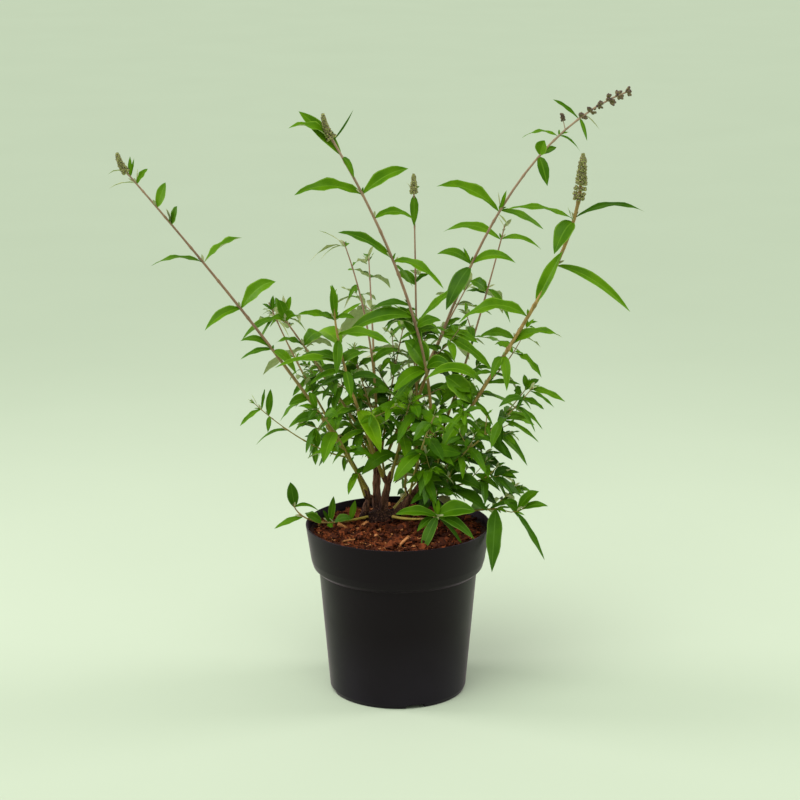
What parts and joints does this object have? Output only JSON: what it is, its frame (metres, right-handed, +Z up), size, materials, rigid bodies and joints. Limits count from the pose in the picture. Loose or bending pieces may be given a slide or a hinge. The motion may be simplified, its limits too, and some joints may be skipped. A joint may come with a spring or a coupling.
{
  "type": "butterfly bush",
  "caption": "Young butterfly bush in its nursery pot, with arching canes, opposite lance-shaped leaves and flower spikes in bud.",
  "frame": {"origin": "centre of the pot's flat underside", "axes": "+Z up, -Y towards the front of the plant, +X to its right as seen from the front, where the tall seeded shoot leans"},
  "size_m": [0.5809, 0.3124, 0.6751],
  "materials": {
    "pot": "black moulded plastic, satin",
    "mulch": "damp bark chips, rough",
    "bark": "dark rough bark",
    "cane": "smooth young bark, matte",
    "foliage": "soft matte leaf"
  },
  "bodies": {
    "root": {"pot": "pot", "mulch": "mulch", "root_crown": "bark", "far_left_cane": "cane", "left_back_cane": "cane", "left_inner_cane": "cane", "front_left_cane": "cane", "back_wisp_cane": "cane", "centre_cane": "cane", "middle_thin_cane": "cane", "right_tall_cane": "cane", "right_back_cane": "cane", "right_bud_cane": "cane", "low_right_cane": "cane", "creeper_cane": "cane", "front_rosette_cane": "cane", "rim_right_cane": "cane", "back_middle_cane": "cane", "back_right_cane": "cane", "back_left_cane": "cane", "far_left_spray": "foliage", "left_back_spray": "foliage", "left_inner_spray": "foliage", "front_left_spray": "foliage", "back_wisp_spray": "foliage", "centre_spray": "foliage", "middle_thin_spray": "foliage", "right_tall_spray": "foliage", "right_back_spray": "foliage", "right_bud_spray": "foliage", "low_right_spray": "foliage", "low_left_spray": "foliage", "creeper_spray": "foliage", "front_rosette_spray": "foliage", "rim_right_spray": "foliage", "rim_right_end_spray": "foliage", "stub_shoot_spray": "foliage", "short_right_spray": "foliage", "upper_right_spray": "foliage", "right_skirt_spray": "foliage", "front_fan_spray": "foliage", "heart_front_spray": "foliage", "heart_left_spray": "foliage", "heart_back_spray": "foliage", "heart_right_spray": "foliage", "low_front_left_spray": "foliage", "low_front_right_spray": "foliage", "back_middle_spray": "foliage", "back_right_spray": "foliage", "back_left_spray": "foliage", "low_back_spray": "foliage"}
  },
  "joints": []
}
